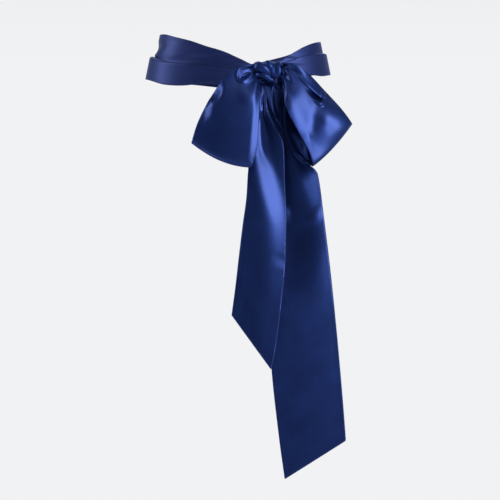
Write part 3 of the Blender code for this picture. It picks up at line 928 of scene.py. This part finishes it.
# %% The two tails
def tail_points(left, right, root, folds, gathers, turned_rows, stand, steps=300, columns=120):
    """A tail's grid, from the knot down to the slanted cut, and how far round the turn it is."""
    down = np.linspace(0.0, 1.0, steps + 1)[:, None]
    share = np.linspace(0.0, 1.0, columns + 1)[None, :]
    left_z = left[0][0] + (left[-1][0] - left[0][0]) * down
    right_z = right[0][0] + (right[-1][0] - right[0][0]) * down
    left_x, right_x = track(left, left_z), track(right, right_z)
    turned = track(turned_rows, right_z)
    x, behind = turn_under(left_x, right_x, turned, share)
    across = (x - left_x) / (right_x - left_x)
    z = left_z * (1 - across) + right_z * across + TURN_STEP * behind * smooth(down, 0.5, 1.0)
    hold = np.maximum(0.0, 1 - down / TAIL_REACH) ** 2
    root_x, root_z = knot_outline(root[0] + (root[1] - root[0]) * across)
    x, z = x + (root_x - x) * hold, z + (root_z - z) * hold
    drape = TAIL_DRAPE[0] * down * drape_noise(x, z, TAIL_DRAPE[1], stand[0])
    lift = fold_field(folds, x, z) * (1 - hold) + drape
    gathered = 1 - smooth(down, *GATHERS_FADE)
    for place, half, height in gathers:
        lift = lift + gathered * height * hump((across - place) / half)
    out = stand[0] + (stand[1] - stand[0]) * across + lift * (1 - behind)
    out = out - 2 * turn_radius(turned) * behind
    return np.stack([x, hang_line(x, z) - out, z], axis=-1), behind


for name, *shape in (
    ("tail_short_cloth", SHORT_LEFT_EDGE, SHORT_RIGHT_EDGE, SHORT_TAIL_ROOT, SHORT_FOLDS,
     SHORT_GATHERS, SHORT_TURNED, SHORT_STAND),
    ("tail_long_cloth", LONG_LEFT_EDGE, LONG_RIGHT_EDGE, LONG_TAIL_ROOT, LONG_FOLDS,
     LONG_GATHERS, LONG_TURNED, LONG_STAND),
):
    points, behind = tail_points(*shape)
    # Faces round the turn take the dull, deep-coloured finish: painted shade beside the fold.
    add_cloth(name, points, satin, behind > PAINTED_SHADE_FROM)

# %% [markdown]
# ## The knot
#
# In the hand the knot is a bundle: the strip is gathered, goes over the top, is drawn down and
# passes behind, and each gather is a soft roll of cloth. The rolls meet below the middle in
# sharp creases. Here each roll is a line with a thickness at each place. A node tree sweeps them
# all, and a remesh joins them into one skin that keeps the creases between them.

# %% Building and running a node tree
def new_tree(name, inputs):
    """A geometry tree with a Geometry input and its other named inputs, as sockets by name."""
    tree = bpy.data.node_groups.new(name, "GeometryNodeTree")
    tree.interface.new_socket("Geometry", in_out="INPUT", socket_type="NodeSocketGeometry")
    for label, kind, value in inputs:
        socket = tree.interface.new_socket(label, in_out="INPUT", socket_type=kind)
        if value is not None:
            socket.default_value = value
    tree.interface.new_socket("Geometry", in_out="OUTPUT", socket_type="NodeSocketGeometry")
    given = tree.nodes.new("NodeGroupInput")
    return tree, {socket.name: Socket(tree, socket) for socket in given.outputs if socket.name}


def end_tree(tree, form, cloth):
    """The last nodes of a tree: real geometry, its material and the tree's output."""
    real = form.node("GeometryNodeRealizeInstances", inputs={0: form})
    finish = real.node("GeometryNodeSetMaterial", inputs={"Geometry": real, "Material": cloth})
    tree.links.new(finish.link, tree.nodes.new("NodeGroupOutput").inputs[0])
    return tree


def grow(source, tree, values, name):
    """Run a tree on an object with its inputs set, and keep the result as a plain mesh."""
    modifier = source.modifiers.new("grow", "NODES")
    modifier.node_group = tree
    for item in tree.interface.items_tree:
        if item.in_out == "INPUT" and item.name in values:
            modifier[item.identifier] = values[item.name]
    graph = bpy.context.evaluated_depsgraph_get()
    mesh = bpy.data.meshes.new_from_object(source.evaluated_get(graph))
    mesh.name = name
    source.modifiers.remove(modifier)
    return mesh


print("trees can be built and run")

# %% The rolls' tree
ROLL_RIBS = 6
RIB_HEIGHT = 0.015          # as a share of the roll's radius
ROLL_SIDES = 48


def roll_tree():
    """Sweeps a faintly ribbed profile along each line, as thick as the line's radius says."""
    tree, given = new_tree("gathered_rolls", [
        ("Ribs", "NodeSocketInt", ROLL_RIBS), ("Rib Height", "NodeSocketFloat", RIB_HEIGHT),
        ("Sides", "NodeSocketInt", ROLL_SIDES), ("Cloth", "NodeSocketMaterial", None)])
    line = given["Geometry"]
    circle = line.node("GeometryNodeCurvePrimitiveCircle",
                       inputs={"Resolution": given["Sides"], "Radius": 1.0})
    place = line.node("GeometryNodeInputPosition")
    x, y = (line.node("ShaderNodeSeparateXYZ", inputs={0: place}, output=k) for k in (0, 1))
    rib = line.maths("SINE", line.maths("ARCTAN2", y, x) * given["Ribs"])
    ribbed = line.node("ShaderNodeVectorMath", {"operation": "SCALE"},
                       {0: place, "Scale": rib * given["Rib Height"] + 1.0})
    profile = line.node("GeometryNodeSetPosition", inputs={"Geometry": circle, "Position": ribbed})
    swept = line.node("GeometryNodeCurveToMesh", inputs={
        "Curve": line, "Profile Curve": profile, "Scale": line.node("GeometryNodeInputRadius"),
        "Fill Caps": True})
    return end_tree(tree, swept, given["Cloth"])


rolls = roll_tree()
print("the roll tree has", len(rolls.nodes), "nodes")

# %% The knot's rolls
# Each roll's rows: x, y, z, radius.
KNOT_ROLLS = [
    # the smooth lobe at the left
    [(30, -102, -20, 7.5), (29, -112, -21, 8.5), (31, -118.5, -23, 8.5), (37, -121.5, -26, 8.0),
     (44, -122, -31, 6.0), (50, -121, -37, 3.4)],
    # the wrap under it, with its upper side in the light
    [(27, -106, -32, 4.6), (28.5, -116, -33.5, 5.4), (35, -122, -34.5, 5.4),
     (43.5, -124, -39, 4.4), (52, -122.5, -43, 3.0)],
    # the top lobe, over the middle
    [(42, -100, -19, 7.0), (42.5, -110, -18, 7.0), (43.5, -118, -19.5, 7.0), (46, -122, -25, 6.0),
     (49, -122.5, -32, 4.2), (51.5, -121.5, -38, 3.0)],
    # the thin crest beside it
    [(49, -104, -17, 4.4), (48.5, -115, -17.5, 4.2), (48.6, -122, -21.5, 3.4),
     (49.6, -126.5, -28.5, 2.6), (51.4, -126, -36.5, 2.2)],
    # the lobe at the right, and the roll under it
    [(57, -102, -21, 8.5), (57.5, -112, -22, 9.0), (57.5, -118.5, -27.5, 8.6),
     (57, -121.5, -33.5, 7.0), (54.5, -122, -39.5, 4.2)],
    [(62, -104, -32, 5.0), (63, -112, -35, 4.6), (61.5, -116, -39, 4.2), (57, -118, -43, 3.2)],
    # the wraps below, which pull to the lower right
    [(33, -110, -39, 3.6), (40, -117.5, -43.5, 3.0), (46, -121, -43.6, 2.6),
     (52, -122.4, -44.0, 2.4), (57.5, -121, -48, 2.2), (61, -117, -58, 1.8)],
    [(40, -112, -46, 3.0), (47, -118, -47.0, 2.4), (53, -120, -48.0, 2.2), (57.6, -119, -53, 2.0),
     (59, -115, -62, 1.6)],
    # the sliver at the right
    [(64.5, -108, -36, 3.0), (65.0, -116, -41, 2.4), (65.0, -118, -49, 2.0),
     (62.5, -116, -61, 1.6)],
    # the cloth behind, between the loops and the tails
    [(28, -104, -34, 4.0), (32, -109, -42, 4.0), (37, -110, -49, 3.6), (42, -110, -58, 3.0)],
    [(60, -106, -38, 4.0), (63, -109, -48, 4.0), (66, -110, -60, 3.4), (69, -111, -76, 2.6)],
]
print("the knot has", len(KNOT_ROLLS), "rolls")

# %% The rolls, swept along their lines
lines = bpy.data.curves.new("knot_lines", "CURVE")
lines.dimensions = "3D"
lines.resolution_u = 10
for roll in KNOT_ROLLS:
    line = lines.splines.new("BEZIER")
    line.bezier_points.add(len(roll) - 1)
    for point, (x, y, z, thick) in zip(line.bezier_points, roll):
        point.co = (x * MM, y * MM, z * MM)
        point.radius = thick * MM
        point.handle_left_type = point.handle_right_type = "AUTO"
knot_lines = bpy.data.objects.new("knot_lines", lines)
collection.objects.link(knot_lines)
knot_mesh = grow(knot_lines, rolls, {"Ribs": ROLL_RIBS, "Rib Height": RIB_HEIGHT,
                                     "Sides": ROLL_SIDES, "Cloth": satin_knot}, "knot_rolls")
bpy.data.objects.remove(knot_lines)
print("the swept rolls have", len(knot_mesh.polygons), "faces")

# %% One skin over the rolls
CORE = (44.0, -110.0, -29.0)            # mm, the middle of the round core that the rolls wrap
CORE_HALF = (18.0, 11.5, 14.0)
SKIN_VOXEL = 0.0006                     # m
SKIN_RELAX = 0.5                        # how far each point moves to its neighbours' middle
SKIN_ROUNDS = 3

skin = bmesh.new()
skin.from_mesh(knot_mesh)
core = bmesh.ops.create_uvsphere(skin, u_segments=40, v_segments=24, radius=1.0)["verts"]
bmesh.ops.scale(skin, verts=core, vec=[half * MM for half in CORE_HALF])
bmesh.ops.translate(skin, verts=core, vec=[value * MM for value in CORE])
skin.to_mesh(knot_mesh)
skin.free()
knot = bpy.data.objects.new("bow_knot", knot_mesh)
collection.objects.link(knot)
remesh = knot.modifiers.new("skin", "REMESH")
remesh.mode = "VOXEL"
remesh.voxel_size = SKIN_VOXEL
remesh.use_smooth_shade = True
relax = knot.modifiers.new("relax", "SMOOTH")
relax.factor = SKIN_RELAX
relax.iterations = SKIN_ROUNDS
graph = bpy.context.evaluated_depsgraph_get()
skinned = bpy.data.meshes.new_from_object(knot.evaluated_get(graph))
knot.modifiers.clear()
knot.data = skinned
skinned.materials.clear()
skinned.materials.append(satin_knot)
skinned.shade_smooth()
print("the knot's skin has", len(skinned.vertices), "points")

# %% [markdown]
# ## The sewn edges
#
# The strip is sewn inside out and turned, so its edges are round and a little fuller than the
# cloth between them. That edge follows the border of every sheet, which is work for a node
# tree: it takes the border as a line and sweeps a small round bead along it.

# %% A node tree that rounds the sewn edges
EDGE_RADIUS = 0.60          # mm
EDGE_SIDES = 8


def edge_tree():
    """A round bead along every border edge of a sheet."""
    tree, given = new_tree("sewn_edge", [
        ("Radius", "NodeSocketFloat", EDGE_RADIUS * MM), ("Sides", "NodeSocketInt", EDGE_SIDES),
        ("Cloth", "NodeSocketMaterial", None)])
    sheet = given["Geometry"]
    # an edge with one face is on the border
    border = sheet.node("FunctionNodeCompare", {"data_type": "INT", "operation": "EQUAL"},
                        {2: sheet.node("GeometryNodeInputMeshEdgeNeighbors"), 3: 1})
    line = sheet.node("GeometryNodeMeshToCurve", inputs={"Mesh": sheet, "Selection": border})
    bead = sheet.node("GeometryNodeCurvePrimitiveCircle",
                      inputs={"Resolution": given["Sides"], "Radius": given["Radius"]})
    swept = sheet.node("GeometryNodeCurveToMesh", inputs={"Curve": line, "Profile Curve": bead})
    soft = sheet.node("GeometryNodeSetShadeSmooth", inputs={"Geometry": swept})
    return end_tree(tree, soft, given["Cloth"])


sewn_edge = edge_tree()
print("the edge tree has", len(sewn_edge.nodes), "nodes")

# %% A bead round each sheet
edges = {}
for name, piece in pieces.items():
    bare = bpy.data.objects.new("bare", piece.data)
    collection.objects.link(bare)
    cloth = piece.data.materials[0]
    mesh = grow(bare, sewn_edge, {"Radius": EDGE_RADIUS * MM, "Sides": EDGE_SIDES,
                                  "Cloth": cloth}, name + "_edge")
    bpy.data.objects.remove(bare)
    edges[name] = bpy.data.objects.new(name + "_edge", mesh)
    collection.objects.link(edges[name])
    print(name, "edge has", len(mesh.polygons), "faces")

# %% [markdown]
# ## Riding on the imported model
#
# The sash is one cloth with no joint, so every piece rides on the one body. Each piece stands
# for its solid, and each sheet says what size it was cut to.

# %% What each piece stands for, and its cut size
#    piece              solid         slot    cut width, length  how it hangs   area
SHEETS = [
    ("sash_band_left", "band_left", "band", (0.090, 0.27), "folded", None),
    ("sash_band_right", "band_right", "band", (0.090, 0.17), "folded", None),
    ("sash_band_back", "band_back", "band", (0.090, 0.34), "folded", None),
    ("bow_loop_left", "loop_left", "bow", (0.090, 0.27), "gathered", None),
    ("bow_loop_right", "loop_right", "bow", (0.090, 0.27), "gathered", None),
    ("tail_short_cloth", "tail_short", "tails", (0.090, 0.40), "hung", 0.033),
    ("tail_long_cloth", "tail_long", "tails", (0.090, 0.56), "hung", 0.047),
]

for name, solid, slot, flat, held, area in SHEETS:
    piece, edge = pieces[name], edges[name]
    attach(piece, "root")
    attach(edge, "root")
    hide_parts(solid)
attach(knot, "root")
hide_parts("knot")
print(len(SHEETS), "sheets and a knot")
